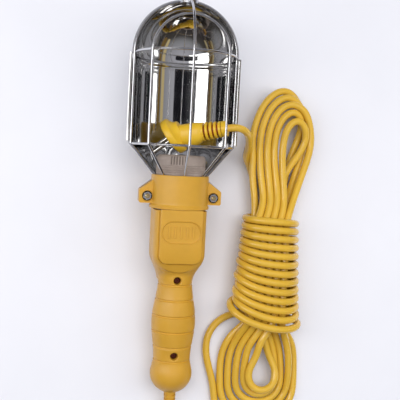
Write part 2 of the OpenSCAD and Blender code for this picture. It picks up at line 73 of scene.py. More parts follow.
# ---- the cord's centre line, in millimetres in the row frame ----
def smooth_chain(points, step):
    """Catmull-Rom through points, resampled at an even step."""
    p = np.array(points, float)
    q = np.vstack([2 * p[0] - p[1], p, 2 * p[-1] - p[-2]])
    out = []
    for i in range(1, len(q) - 2):
        n = max(4, int(np.linalg.norm(q[i + 1] - q[i])))
        t = np.linspace(0, 1, n, endpoint=False)[:, None]
        out.append(0.5 * (2 * q[i] + (q[i + 1] - q[i - 1]) * t
                          + (2 * q[i - 1] - 5 * q[i] + 4 * q[i + 1] - q[i + 2]) * t ** 2
                          + (3 * q[i] - q[i - 1] - 3 * q[i + 1] + q[i + 2]) * t ** 3))
    out.append(p[-1:])
    c = np.vstack(out)
    s = np.concatenate([[0], np.cumsum(np.linalg.norm(np.diff(c, axis=0), axis=1))])
    u = np.linspace(0, s[-1], max(2, int(round(s[-1] / step)) + 1))
    return np.stack([np.interp(u, s, c[:, k]) for k in range(3)], 1)


# from the handle's exit round to the first wrap
TAIL = [(0, -197.79, 13.13), (0, -203.74, 12.31), (0, -212, 10.2), (2, -226, 6.6), (7, -239, 4.5), (16, -248, 3.5),
        (27, -249, 3.4), (37, -242, 3.4), (43, -230, 3.4), (45, -216, 3.4), (44, -202, 3.4), (42, -188, 3.4),
        (40.5, -174, 3.4), (36.5, -160, 3.4), (33.5, -147, 3.4), (34, -134, 3.6), (39, -123, 4.2), (48, -115, 3.8),
        (62, -110.5, 3.4), (80, -109, 3.4), (98, -111, 5.2), (109, -114.5, 11)]
# from the foot of the upper loops to the plug's boot
LEAD = [(74.5, 5, 3.6), (72.5, 15, 4.2), (69.3, 23.5, 7.6), (65.8, 30.5, 14.5), (63, 36.5, 25), (60.8, 42, 36),
        (57.5, 46.5, 46), (51.5, 49.6, 52.6), (44.5, 50.6, 53.8), (38, 50.05, 51.8)]

TURNS = 12.72
PITCH = 6.85
STEPS_PER_TURN = 24


def wraps():
    """A flattened helix round the bundle, wider and more slanted at its lower end."""
    pts = []
    for i in range(int(TURNS * STEPS_PER_TURN) + 1):
        k = i / float(STEPS_PER_TURN)
        done = k / TURNS
        phase = 2 * math.pi * k
        left_over = max(0.0, 1 - done)
        left = 44.5 + 6.5 * min(1, k / 1.2) + 9.0 * done
        right = 117 - 2.2 * min(1, k / 1.2) - 1.6 * done
        half = (right - left) / 2 - D / 2
        middle = (left + right) / 2
        y = -110.5 + PITCH * k
        droop = 1.0 + 10.5 * left_over ** 1.3
        slant = 5.5 * left_over ** 1.5
        pts.append((middle + half * math.cos(phase), y - droop * math.sin(phase) - slant * math.cos(phase),
                    19.6 + 16.1 * math.sin(phase)))
    return pts


def bundle_x(y, column):
    return 82.5 + 3.7 * ((y + 125) / 97.0) + column


UP_Z, LOW_Z = 26.0, 13.4
# legs through the wraps: name -> (offset across the bundle, height)
SLOT = {'L0': (-13.8, LOW_Z), 'L1': (-13.8, UP_Z), 'L2': (-6.9, UP_Z), 'L3': (0, UP_Z), 'L4': (6.9, UP_Z),
        'R2': (13.8, UP_Z), 'R1': (13.8, LOW_Z), 'R3': (6.9, LOW_Z), 'R4': (0, LOW_Z), 'E': (-6.9, LOW_Z)}
# the upper loops' left and right legs, from the wraps up, and their turning points
ABOVE = {
 'L0': [(73, -14, 15), (70.3, 8, 16), (68.6, 30, 16.5), (69.2, 50, 16.5), (74.3, 70, 16.5), (84, 86, 16.5)],
 'L1': [(79, -12, 22.5), (77, 10, 20), (75.2, 30, 19), (75.8, 49.5, 19), (80.4, 67.5, 19), (89.4, 81.5, 19)],
 'L2': [(85, -12, 24), (83.6, 10, 21.5), (81.8, 30, 21), (82.4, 48.5, 21), (86.6, 64.6, 21), (94.8, 76.4, 21)],
 'L3': [(91, -12, 24), (90.2, 10, 21.5), (88.4, 29, 21), (88.9, 47, 21), (92.8, 61.4, 21), (99.6, 71.2, 21)],
 'L4': [(97, -12, 23.5), (96.8, 8, 22.5), (95.4, 26, 23), (95.6, 41, 24), (97.8, 53.6, 24.5), (102.6, 62.4, 24.5)],
 'R0': [(99, -8, 5.5), (111, 6, 3.6), (120, 24, 3.5), (124.3, 44, 3.5), (122.5, 66, 5), (112, 86, 10)],
 'R1': [(103, -10, 12.5), (108, 6, 10.2), (113.5, 24, 10), (118.5, 42, 10), (120, 62, 12), (114, 79, 16)],
 'R2': [(106, -10, 21.5), (112, 6, 18), (118.5, 24, 16.5), (123.7, 43, 16.5), (122.5, 60, 18), (117, 72, 20.5)],
 'R3': [(98.5, -10, 11), (101.5, 8, 7.5), (105, 24, 7), (109.5, 40, 8), (114.5, 55, 12), (115.6, 67, 17.5)],
 'R4': [(92, -10, 14.5), (97, 8, 14), (104.5, 24, 14.5), (113.5, 37, 16), (118, 48.5, 19), (116.4, 59, 22.5)],
}
TOP = {0: (99, 94.5, 15.5), 1: (102.5, 88, 18.5), 2: (106, 81.4, 20.8), 3: (108.4, 74.8, 21), 4: (109.6, 66.4, 24.4)}
# the folds below the wraps, widest first: left leg, right leg, lowest y, half sizes and height of the turn
LEFT = [(46.6, 4), (53.4, 7), (60.2, 11), (67, 15), (75.5, 20)]
RIGHT = [(115.5, 4), (109, 11), (102.5, 5), (96, 7), (89.5, 12)]
FOLD_END = [-203, -196.3, -189.5, -182.5, -178]
FOLD_HALF = [(34.5, 26), (27.8, 22), (21.2, 18), (14.6, 14.5), (12.5, 13)]
FOLD_Z = (3.6, 3.8, 5.2, 9.0, 16.0)


def through(name, up):
    """A leg's points inside the wraps."""
    column, z = SLOT[name]
    leg = [(bundle_x(y, column), y, z) for y in (-28, -50, -75, -98, -114)]
    return leg[::-1] if up else leg


def fold_below(k):
    """The points of one fold below the wraps, from its left leg to its right."""
    (lx, lz), (rx, rz) = LEFT[k], RIGHT[k]
    end, z = FOLD_END[k], FOLD_Z[k]
    w, h = FOLD_HALF[k]
    cx = (lx + rx) / 2
    pts = [(lx + 6.5 - k, -134, lz + 4), (lx + 1.0, -148, lz), (cx - w * 0.99, end + h + 7, (lz + z) / 2)]
    for a in (200, 225, 247, 270, 293, 315, 340):
        r = math.radians(a)
        pts.append((cx + w * math.cos(r), end + h + h * math.sin(r), z))
    pts += [(cx + w * 0.99, end + h + 7, (z + rz) / 2), (rx - 0.6, -148, rz), (rx - 4.5, -134, rz + 3)]
    return pts


def loops():
    path = []
    for i in range(5):
        if i > 0:
            path += through('R%d' % i, True)
        path += ABOVE['R%d' % i] + [TOP[i]] + ABOVE['L%d' % i][::-1]
        path += through('L%d' % i, False)
        path += fold_below(i)
    return path + through('E', True)


def guide():
    return TAIL + wraps() + [(88, -19, 3.6)] + loops() + [(75, -16, 8), (75.5, -6, 4.2)] + LEAD


def relax(p, rounds=140, keep=0.02, fixed=()):
    """Pushes strands apart to a diameter, smooths bends and holds the line near its guide."""
    p = p.copy()
    g = p.copy()
    n = len(p)
    rest = np.linalg.norm(np.diff(p, axis=0), axis=1).mean()
    gap = int(math.ceil(1.6 * D / rest))
    idx = np.arange(n)
    free = np.ones(n, bool)
    for a, b in fixed:
        free[a:b] = False
    w = free[:, None].astype(float)
    for r in range(rounds):
        # pairs closer than a diameter
        if r % 6 == 0:
            d2 = ((p[:, None, :] - p[None, :, :]) ** 2).sum(2)
            ii, jj = np.nonzero((d2 < (D + 4.0) ** 2) & (idx[None, :] - idx[:, None] > gap))
        v = p[jj] - p[ii]
        d = np.linalg.norm(v, axis=1)
        m = d < D * 1.005
        vi, vj = ii[m], jj[m]
        u = v[m] / np.maximum(d[m], 1e-6)[:, None]
        push = (D * 1.005 - d[m])[:, None] * u * 0.42
        delta = np.zeros_like(p)
        cnt = np.zeros(n)
        np.add.at(delta, vi, -push)
        np.add.at(delta, vj, push)
        np.add.at(cnt, vi, 1)
        np.add.at(cnt, vj, 1)
        p += delta / np.maximum(1, cnt * 0.5)[:, None] * w
        # bending: move towards the middle of second neighbours
        lap = np.zeros_like(p)
        lap[2:-2] = (-p[:-4] + 4 * p[1:-3] + 4 * p[3:-1] - p[4:]) / 6 - p[2:-2]
        p += 0.5 * lap * w
        p += keep * (g - p) * w
        low = p[:, 2] < D / 2 + 0.05
        p[low & free, 2] = D / 2 + 0.05
    return p


# ---- materials ----
def nodes_of(name):
    mat = bpy.data.materials.new(name)
    mat.use_nodes = True
    tree = mat.node_tree
    bsdf = tree.nodes["Principled BSDF"]
    return mat, tree, bsdf


def noise(tree, scale, detail=4.0, rough=0.55, stretch=None):
    coord = tree.nodes.new("ShaderNodeTexCoord")
    tex = tree.nodes.new("ShaderNodeTexNoise")
    tex.inputs["Scale"].default_value = scale
    tex.inputs["Detail"].default_value = detail
    tex.inputs["Roughness"].default_value = rough
    if stretch:
        mapping = tree.nodes.new("ShaderNodeMapping")
        mapping.inputs["Scale"].default_value = stretch
        tree.links.new(coord.outputs["Object"], mapping.inputs["Vector"])
        tree.links.new(mapping.outputs["Vector"], tex.inputs["Vector"])
    else:
        tree.links.new(coord.outputs["Object"], tex.inputs["Vector"])
    return tex


def ramp(tree, source, stops):
    node = tree.nodes.new("ShaderNodeValToRGB")
    ends = node.color_ramp.elements
    ends[0].position, ends[0].color = stops[0][0], stops[0][1]
    ends[1].position, ends[1].color = stops[-1][0], stops[-1][1]
    for pos, col in stops[1:-1]:
        e = ends.new(pos)
        e.color = col
    tree.links.new(source, node.inputs["Fac"])
    return node


def surface(name, color, rough, metallic=0.0, vary=0.06, rough_vary=0.05, scale=60.0,
            bump=0.0, bump_scale=400.0, coat=0.0, stretch=None, spec=0.5, sub=0.0):
    """A principled material with uneven colour and roughness, and a fine bump."""
    mat, tree, bsdf = nodes_of(name)
    tex = noise(tree, scale, stretch=stretch)
    lo = [c * (1 - vary) for c in color] + [1]
    hi = [min(1.0, c * (1 + vary)) for c in color] + [1]
    col = ramp(tree, tex.outputs["Fac"], [(0.3, lo), (0.7, hi)])
    tree.links.new(col.outputs["Color"], bsdf.inputs["Base Color"])
    rlo, rhi = max(0.0, rough - rough_vary), min(1.0, rough + rough_vary)
    tex2 = noise(tree, scale * 2.3)
    rr = ramp(tree, tex2.outputs["Fac"], [(0.3, (rlo, rlo, rlo, 1)), (0.7, (rhi, rhi, rhi, 1))])
    tree.links.new(rr.outputs["Color"], bsdf.inputs["Roughness"])
    bsdf.inputs["Metallic"].default_value = metallic
    bsdf.inputs["Specular IOR Level"].default_value = spec
    bsdf.inputs["Coat Weight"].default_value = coat
    bsdf.inputs["Coat Roughness"].default_value = 0.12
    if sub:
        bsdf.inputs["Subsurface Weight"].default_value = sub
        bsdf.inputs["Subsurface Radius"].default_value = (0.004, 0.002, 0.0006)
    if bump:
        fine = noise(tree, bump_scale, detail=2.0)
        b = tree.nodes.new("ShaderNodeBump")
        b.inputs["Strength"].default_value = bump
        b.inputs["Distance"].default_value = 0.0004
        tree.links.new(fine.outputs["Fac"], b.inputs["Height"])
        tree.links.new(b.outputs["Normal"], bsdf.inputs["Normal"])
    return mat


HANDLE = surface("handle_plastic", (0.585, 0.315, 0.034), 0.36, vary=0.05, bump=0.10, bump_scale=900, sub=0.06)
PLUG = surface("plug_plastic", (0.74, 0.46, 0.03), 0.34, vary=0.03, bump=0.05, bump_scale=900, sub=0.08)
CORD = surface("cord_pvc", (0.70, 0.43, 0.044), 0.24, vary=0.05, scale=30, bump=0.05, bump_scale=260,
               coat=0.6, sub=0.06)
SHEET = surface("chrome_sheet", (0.74, 0.735, 0.73), 0.06, metallic=1.0, vary=0.02, rough_vary=0.025,
                scale=25, bump=0.22, bump_scale=26, stretch=(1, 0.35, 1))
WIRE = surface("chrome_wire", (0.62, 0.62, 0.64), 0.12, metallic=1.0, vary=0.03, rough_vary=0.05,
               bump=0.15, bump_scale=300)
ZINC = surface("zinc_steel", (0.60, 0.61, 0.64), 0.30, metallic=1.0, vary=0.12, rough_vary=0.10,
               scale=500, bump=0.15, bump_scale=1500)
GOLD_ZINC = surface("gold_zinc", (0.72, 0.57, 0.30), 0.30, metallic=1.0, vary=0.15, rough_vary=0.1,
                    scale=500, bump=0.15, bump_scale=1500)
# dark steel of the handle screws, also used as painted shade in the ears' nut pockets
DARK_STEEL_AND_SHADE = surface("dark_steel_and_pocket_shade", (0.045, 0.04, 0.04), 0.4, metallic=1.0, vary=0.2, scale=300)
HOLDER = surface("holder_plastic", (0.33, 0.27, 0.235), 0.62, vary=0.10, rough_vary=0.08, scale=170,
                 bump=0.35, bump_scale=1300)
# dark screw steel tinted red-brown: painted shade of the deep countersinks
SCREW_STEEL_AND_SHADE = surface("dark_screw_painted_shade", (0.10, 0.022, 0.012), 0.42, metallic=0.6, vary=0.2, scale=300)
# painted shade for the grooves between the lampholder's ribs
GROOVE_SHADE = surface("groove_painted_shade", (0.15, 0.12, 0.10), 0.8, vary=0.2, scale=300)
BRASS = surface("brass", (0.78, 0.58, 0.27), 0.28, metallic=1.0, vary=0.1, scale=300, bump=0.1)
NICKEL = surface("nickel", (0.66, 0.63, 0.58), 0.22, metallic=1.0, vary=0.15, rough_vary=0.1, scale=400,
                 bump=0.2, bump_scale=700)
BLACK = surface("black_plastic", (0.018, 0.018, 0.02), 0.32, vary=0.2, bump=0.1, bump_scale=900)
BLUE = surface("blue_pvc", (0.03, 0.10, 0.42), 0.35)
BROWN = surface("brown_pvc", (0.16, 0.06, 0.025), 0.35)
# the boot's core between its collars is coloured dark red-brown
BOOT_CORE_DARK_RED = surface("boot_core", (0.30, 0.035, 0.008), 0.5)

CAD_LOOKS = {
    "clamp_front": HANDLE, "clamp_rear": HANDLE, "handle_rear_shell": HANDLE, "strain_relief": HANDLE,
    "handle_front_shell": HANDLE, "handle_screws": DARK_STEEL_AND_SHADE, "clamp_bolts": GOLD_ZINC,
    "clamp_nuts": ZINC, "reflector": SHEET, "guard_side_hoop": WIRE, "guard_front_hoop": WIRE,
    "guard_centre_wire": WIRE, "guard_upper_ring": WIRE, "guard_lower_ring": WIRE, "hook_bush": ZINC,
    "hook": WIRE, "lampholder_body": HOLDER, "thread_shell": BRASS, "holder_base": HOLDER,
    "centre_contact": BRASS, "holder_terminals": BRASS, "terminal_screws": ZINC,
    "switch_housing": BLACK, "switch_contacts": BRASS, "switch_rocker": BLACK, "live_wire": BROWN,
    "neutral_wire": BLUE, "switched_wire": BROWN, "cord_clamp_bar": ZINC, "cord_clamp_screws": ZINC,
    "inner_cord": CORD, "plug_body": PLUG, "plug_pins": NICKEL,
}
BEVELS = {"clamp_front": 0.5, "clamp_rear": 0.5, "handle_rear_shell": 0.5, "clamp_bolts": 0.25,
          "clamp_nuts": 0.3, "hook_bush": 0.4, "switch_housing": 0.3, "switch_rocker": 0.4,
          "strain_relief": 0.2, "cord_clamp_bar": 0.2, "handle_screws": 0.2}


def dress_cad():
    for name, mat in CAD_LOOKS.items():
        obj = nodes[name]
        for i in range(len(obj.material_slots)):
            obj.material_slots[i].link = "OBJECT"
            obj.material_slots[i].material = mat
        if not obj.material_slots:
            obj.data.materials.append(mat)
        width = BEVELS.get(name)
        if width:
            mod = obj.modifiers.new("edge", "BEVEL")
            mod.width = width * MM
            mod.segments = 2
            mod.limit_method = "ANGLE"
            mod.angle_limit = math.radians(38)
            mod.use_clamp_overlap = True
            mod.harden_normals = False


# ---- building helpers ----
def make(name, verts, faces, mat, body="lamp", matrix=LAY, angle=35.0, unit=MM):
    """A mesh from points in the lamp's own frame, in millimetres."""
    mesh = bpy.data.meshes.new(name)
    pts = [tuple(matrix @ (Vector(v) * unit)) for v in verts]
    mesh.from_pydata(pts, [], faces)
    mesh.validate()
    bm = bmesh.new()
    bm.from_mesh(mesh)
    bmesh.ops.recalc_face_normals(bm, faces=bm.faces)
    bm.to_mesh(mesh)
    bm.free()
    mesh.shade_smooth()
    mesh.set_sharp_from_angle(angle=math.radians(angle))
    mesh.materials.append(mat)
    obj = bpy.data.objects.new(name, mesh)
    scene.collection.objects.link(obj)
    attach(obj, body)
    return obj


def loft(rings, closed_ring=True, cap_start=True, cap_end=True):
    """Points and faces of a skin through rings of equal count."""
    n = len(rings[0])
    verts = [v for r in rings for v in r]
    faces = []
    last = n if closed_ring else n - 1
    for i in range(len(rings) - 1):
        for k in range(last):
            a, b = i * n + k, i * n + (k + 1) % n
            faces.append((a, a + n, b + n, b))
    if cap_start:
        faces.append(tuple(range(n))[::-1])
    if cap_end:
        faces.append(tuple((len(rings) - 1) * n + k for k in range(n)))
    return verts, faces


def lathe(profile, count=64, start=0.0, sweep=2 * math.pi):
    """A closed profile of (radius, height) turned about the height axis."""
    full = abs(sweep - 2 * math.pi) < 1e-6
    steps = count if full else count + 1
    rings = []
    for i in range(steps):
        a = start + sweep * i / count
        rings.append([(r * math.cos(a), r * math.sin(a), z) for r, z in profile])
    n = len(profile)
    verts = [v for r in rings for v in r]
    faces = []
    for i in range(count):
        j = (i + 1) % steps
        for k in range(n):
            m = (k + 1) % n
            faces.append((i * n + k, j * n + k, j * n + m, i * n + m))
    if not full:
        faces.append(tuple(range(n))[::-1])
        faces.append(tuple((steps - 1) * n + k for k in range(n)))
    return verts, faces


def joined(parts):
    verts, faces = [], []
    for v, f in parts:
        base = len(verts)
        verts += list(v)
        faces += [tuple(base + i for i in face) for face in f]
    return verts, faces


def moved(part, matrix):
    return [tuple(matrix @ Vector(v)) for v in part[0]], part[1]


def ease(a, b, t):
    t = min(1.0, max(0.0, t))
    return a + (b - a) * (1 - math.cos(math.pi * t)) / 2


def step(a, b, x):
    t = min(1.0, max(0.0, (x - a) / (b - a)))
    return t * t * (3 - 2 * t)


# ---- handle front shell ----
GROOVES = (28, 40.3, 53.6, 67.1, 80.7, 93.6)
GROOVE_R = 0.95
SCREWS = (33.4, 97.9)
BULB_R, BULB_Z, BULB_LENGTH = 18.2, 15, 17
LOW_WAIST_R, LOW_WAIST_Z = 16.0, 28.5
GRIP_R, GRIP_Z = 19.0, 60.5
WAIST_R, WAIST_Z = 14.8, 97
HEAD_Z, HEAD_RISE = 95, 26
HEAD_HALF_WIDTH, HEAD_HALF_DEPTH = 22.35, 22.4
HANDLE_TOP = 157.9


def grip_radius(z):
    """Radius of the turned grip at a height over the handle's round end."""
    if z < BULB_Z:
        return BULB_R * math.sqrt(max(0.0, 1 - ((BULB_Z - z) / BULB_LENGTH) ** 2))
    if z < LOW_WAIST_Z:
        return ease(BULB_R, LOW_WAIST_R, (z - BULB_Z) / (LOW_WAIST_Z - BULB_Z))
    if z < GRIP_Z:
        return ease(LOW_WAIST_R, GRIP_R, (z - LOW_WAIST_Z) / (GRIP_Z - LOW_WAIST_Z))
    if z < WAIST_Z:
        return ease(GRIP_R, WAIST_R, (z - GRIP_Z) / (WAIST_Z - GRIP_Z))
    return WAIST_R


def head_width(z):
    return grip_radius(z) if z < HEAD_Z else ease(WAIST_R, HEAD_HALF_WIDTH, (z - HEAD_Z) / HEAD_RISE)


def head_depth(z, x=0.0):
    if z < HEAD_Z:
        return grip_radius(z)
    # a rounded chin ends the flat front of the head
    chin = 105.2 + 0.022 * x * x
    under = 1.7 * (1 - step(chin - 0.4, chin + 0.7, z)) * step(97, 103.5, z)
    return ease(WAIST_R, HEAD_HALF_DEPTH, (z - HEAD_Z) / HEAD_RISE) - under


PANEL_HALF, PANEL_LOW, PANEL_HIGH, PANEL_CORNER = 17.8, 113.9, 158.75, 6.8


def panel_distance(x, z):
    """Distance outside the panel's outline, negative inside."""
    r = PANEL_CORNER
    qx, qz = abs(x) - (PANEL_HALF - r), (PANEL_LOW + r) - z
    return math.hypot(max(qx, 0.0), max(qz, 0.0)) + min(max(qx, qz), 0.0) - r


def handle_front():
    heights = []
    z = 0.15
    while z < HANDLE_TOP:
        heights.append(z)
        fine = any(abs(z - g) < 1.5 for g in GROOVES) or abs(z - 98) < 5 or abs(z - SCREWS[0]) < 5 or z < 4
        z += 0.3 if fine or 103 < z < 122 else 0.5 if z > 103 else 0.9
    heights.append(HANDLE_TOP)
    count = 168
    rings = []
    for z in heights:
        w, d = head_width(z), head_depth(z)
        power = 2.0 + 3.4 * step(97, 122, z)
        cut = 0.0
        for g in GROOVES:
            if abs(z - g) < GROOVE_R:
                cut = max(cut, GROOVE_R * max(0.0, 1 - (abs(z - g) / GROOVE_R) ** 2) ** 0.5)
        ring = []
        for k in range(count + 1):
            a = math.pi + math.pi * k / count
            c, s = math.cos(a), math.sin(a)
            d = head_depth(z, w * c) + (0 if z < HEAD_Z else (head_depth(z) - head_depth(z, w * c)) * (1 - abs(s)))
            r = (abs(c / w) ** power + abs(s / d) ** power) ** (-1 / power) - cut
            x, y = r * c, min(-0.0, r * s)
            # countersinks of the two screws
            for sz in SCREWS:
                q = math.hypot(x, z - sz)
                if q < 4.2 and y < -5:
                    y += 5.2 * (1 - step(2.85, 3.3, q)) + 0.5 * (1 - step(3.2, 4.2, q))
            if z > 112 and y < -8:
                # a fine seam round the raised panel
                far = abs(panel_distance(x, z) - 0.35)
                y += 0.8 * (1 - step(0.1, 0.5, far))
            ring.append((x, y - 0.04 if k not in (0, count) else -0.12, z))
        rings.append(ring)
    verts, faces = loft(rings, closed_ring=False, cap_start=True, cap_end=True)
    n = count + 1
    for i in range(len(rings) - 1):
        faces.append((i * n, (i + 1) * n, (i + 1) * n + count, i * n + count))
    obj = make("handle_front", verts, faces, HANDLE, angle=40)
    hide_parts("handle_front_shell")
    return obj


def outline(half_w, low, high, r, count=14):
    pts = []
    for cx, cz, a0 in ((half_w - r, high - r, 0), (-half_w + r, high - r, 90), (-half_w + r, low + r, 180),
                       (half_w - r, low + r, 270)):
        for i in range(count + 1):
            a = math.radians(a0 + 90 * i / count)
            pts.append((cx + r * math.cos(a), cz + r * math.sin(a)))
    return pts


def inset_of(half_w, low, high, r, d, count=14):
    return outline(half_w - d, low + d, high - d, max(0.3, r - d), count)


def panel():
    """Raised panel with a rimmed stadium recess, as one skin of loops from rim to floor."""
    top = -23.88
    rings = []
    for d, y in ((0.0, -20.6), (0.0, top + 0.6), (0.15, top + 0.25), (0.55, top)):
        # drawn past the top and cut square there
        rings.append([(x, y, min(z, PANEL_HIGH))
                      for x, z in inset_of(PANEL_HALF, PANEL_LOW, PANEL_HIGH + 5.25, PANEL_CORNER, d)])
    bz, bh, bhh = 140.1, 16.0, 8.9
    stad = (bh, bz - bhh, bz + bhh, bhh - 0.05)
    for d, y in ((-0.9, top), (-0.75, top), (-0.35, top - 0.02), (0.0, top + 0.05), (0.25, top + 0.7),
                 (0.6, top + 0.82), (1.0, top + 0.82)):
        rings.append([(x, y, z) for x, z in inset_of(*stad, d)])
    verts, faces = loft(rings, cap_start=True, cap_end=True)
    obj = make("handle_panel", verts, faces, HANDLE, angle=50)
    ribs = []
    for x in (-10, -5, 0, 5, 10):
        pts = [[(x + px, y, bz + pz) for px, pz in
                ((-w, -h), (w, -h), (w, h), (-w, h))] for w, h, y in
               ((1.0, 5.0, top + 0.85), (0.95, 4.95, top + 0.35), (0.7, 4.7, top + 0.2))]
        ribs.append(loft(pts))
    v, f = joined(ribs)
    rib = make("panel_ribs", v, f, HANDLE, angle=30)
    # rounded outer edge follows the recess, as a fine raised bead
    bead = []
    path = inset_of(*stad, -0.55)
    for i, (x, z) in enumerate(path):
        px, pz = path[i - 1]
        nx, nz = path[(i + 1) % len(path)]
        t = Vector((nx - px, 0, nz - pz)).normalized()
        side = Vector((t.z, 0, -t.x))
        bead.append([tuple(Vector((x, top + 0.02, z)) + 0.32 * (math.cos(a) * side + math.sin(a) * Vector((0, -1, 0))))
                     for a in [2 * math.pi * k / 8 for k in range(8)]])
    bead.append(bead[0])
    v, f = loft(bead, cap_start=False, cap_end=False)
    make("panel_bead", v, f, HANDLE, angle=60)
    return obj, rib


def screw_heads():
    parts = []
    for z, depth in ((SCREWS[0], grip_radius(SCREWS[0]) - 4.0), (SCREWS[1], 10.9)):
        prof = [(0.0, 0.0), (0.9, 0.05), (1.0, 0.75), (2.2, 0.7), (2.6, 0.35), (2.75, -0.6), (0.0, -0.7)]
        m = Matrix.Translation((0, -depth, z)) @ Matrix.Rotation(math.pi / 2, 4, "X")
        ring = lathe(prof, 32)
        parts.append(moved(ring, m))
        for turn in (0.5, 0.5 + math.pi / 2):
            bar = [(-1.9, -0.28, 0.5), (1.9, -0.28, 0.5), (1.9, 0.28, 0.5), (-1.9, 0.28, 0.5)]
            top = [(x, y, 0.78) for x, y, _ in bar]
            parts.append(moved(loft([bar, top]), m @ Matrix.Rotation(turn, 4, "Z")))
    v, f = joined(parts)
    # the screw heads carry the red-brown painted shade of their deep countersinks
    obj = make("screw_heads", v, f, SCREW_STEEL_AND_SHADE, angle=40)
    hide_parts("handle_screws")


# ---- lampholder ----
def holder():
    r0 = 21.15
    heights = [167.6, 175.9, 176.4]
    z = 177.0
    while z < 202.8:
        heights.append(z)
        z += 0.45
    count = 360
    rings = []
    for z in heights:
        ring = []
        for k in range(count):
            a = 2 * math.pi * k / count
            deg = math.degrees(a) % 360
            r = r0 if z > 176 else r0 - 0.35
            r -= 1.2 * max(0.0, (z - 200.5) / 2.5) ** 2
            if 186.4 < z < 195.4:
                u = math.sin(a * 60 + (z - 187) * 1.6) * math.sin(a * 60 - (z - 187) * 1.6)
                r -= 0.35 + 0.5 * u
            elif z >= 195.4:
                r -= 0.15
                front = (deg - 270 + 180) % 360 - 180
                if -34 < front < 6 and z > 195.8:
                    wave = 0.5 - 0.5 * math.cos(math.radians((front + 34) / 40 * 360 * 6))
                    r -= 1.5 * wave ** 2.2 * step(195.8, 196.4, z)
            ring.append((r * math.cos(a), r * math.sin(a), z))
        rings.append(ring)
    for dr, z in ((1.3, 203.0), (2.1, 203.6), (3.2, 203.95), (4.6, 204.0), (6.1, 203.9),
                  (6.5, 203.5), (6.6, 202.6), (6.2, 202.0), (6.2, 190.0), (6.2, 168.5)):
        rings.append([((r0 - dr) * math.cos(2 * math.pi * k / count), (r0 - dr) * math.sin(2 * math.pi * k / count), z)
                      for k in range(count)])
    verts, faces = loft(rings, cap_start=False, cap_end=False)
    n = count
    base = (len(rings) - 1) * n
    for k in range(n):
        faces.append((k, (k + 1) % n, base + (k + 1) % n, base + k))
    obj = make("lampholder_shell", verts, faces, HOLDER, angle=35)
    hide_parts("lampholder_body")
    # painted shade: a dark sheet just under the ribbed band, seen in the grooves between the ribs
    groove_shade_patch = []
    for z, dr in ((196.0, 0.72), (201.4, 0.9), (203.0, 1.8)):
        groove_shade_patch.append([((r0 - dr) * math.cos(math.radians(a)), (r0 - dr) * math.sin(math.radians(a)), z)
                      for a in range(237, 276)] +
                     [((r0 - 3.0) * math.cos(math.radians(a)), (r0 - 3.0) * math.sin(math.radians(a)), z)
                      for a in range(275, 236, -1)])
    v, f = loft(groove_shade_patch)
    make("rib_groove_shade", v, f, GROOVE_SHADE, angle=35)


# ---- reflector ----
BOLT_X, BOLT_Z = 28.2, 168.8
REFLECTOR_R, SHEET_T = 45.5, 0.8
LOW_RING_Z, UP_RING_Z = 212.0, 289.0


def drilled(outer, hole, centre, half_t):
    """A flat plate in the parting plane with one round hole."""
    m = len(outer)
    ring = [(centre[0] + hole * math.cos(2 * math.pi * k / 24), centre[1] + hole * math.sin(2 * math.pi * k / 24))
            for k in range(24)]
    flat = [Vector((x, z, 0)) for x, z in outer], [Vector((x, z, 0)) for x, z in ring]
    tris = tessellate_polygon(list(flat))
    pts = [(x, z) for x, z in outer] + ring
    n = len(pts)
    verts = [(x, -half_t, z) for x, z in pts] + [(x, half_t, z) for x, z in pts]
    faces = [tuple(t) for t in tris] + [tuple(n + i for i in t)[::-1] for t in tris]
    faces += [(k, (k + 1) % m, n + (k + 1) % m, n + k) for k in range(m)]
    faces += [(m + k, n + m + k, n + m + (k + 1) % 24, m + (k + 1) % 24) for k in range(24)]
    return verts, faces


def reflector():
    """The half shell drawn smooth: a cone, a straight wall, one pressed groove and a domed top."""
    def line(r):
        pts = [(r - 23.6, 168.0), (r - 23.6, 186.0), (r - 23.35, 187.2), (r - 22.7, 188.2)]
        pts += [(r - 22.7 + 21.4 * t, 188.2 + 22.4 * t) for t in (0.25, 0.5, 0.75, 1.0)]
        pts += [(r - 0.35, 211.6), (r, 212.9), (r, 230.0), (r, 250.0), (r, 270.0), (r, 281.2)]
        pts += [(r - 0.4 + 0.4 * math.cos(math.pi * i / 8), 281.6 + 2.6 * i / 8) for i in range(1, 9)]
        pts += [(r - 0.4 - 0.4 * math.cos(math.pi * i / 8), 284.8 + 2.6 * i / 8) for i in range(9)]
        for i in range(49):
            a = math.radians(79.6 * i / 48)
            pts.append((r * math.cos(a), UP_RING_Z + r * math.sin(a)))
        return pts

    shell = lathe(line(REFLECTOR_R) + line(REFLECTOR_R - SHEET_T)[::-1], 144, 0.0, math.pi)
    parts = [shell]
    for side in (-1, 1):
        roll = lathe([(0.0, 0.0), (1.0, 0.0), (1.3, 0.3), (1.3, 73.7), (1.0, 74.0), (0.0, 74.0)], 20)
        parts.append(moved(roll, Matrix.Translation((side * (REFLECTOR_R + 0.9), -0.5, LOW_RING_Z + 2))))
        plate = [(21.5, 168.2), (34.0, 163.2), (35.2, 164.7), (35.2, 174.5), (34.4, 175.2), (24.0, 183.5),
                 (21.5, 185.0)]
        parts.append(drilled([(side * x, z) for x, z in plate], 2.05, (side * BOLT_X, BOLT_Z), 0.35))
    v, f = joined(parts)
    obj = make("reflector_shell", v, f, SHEET, angle=40)
    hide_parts("reflector")


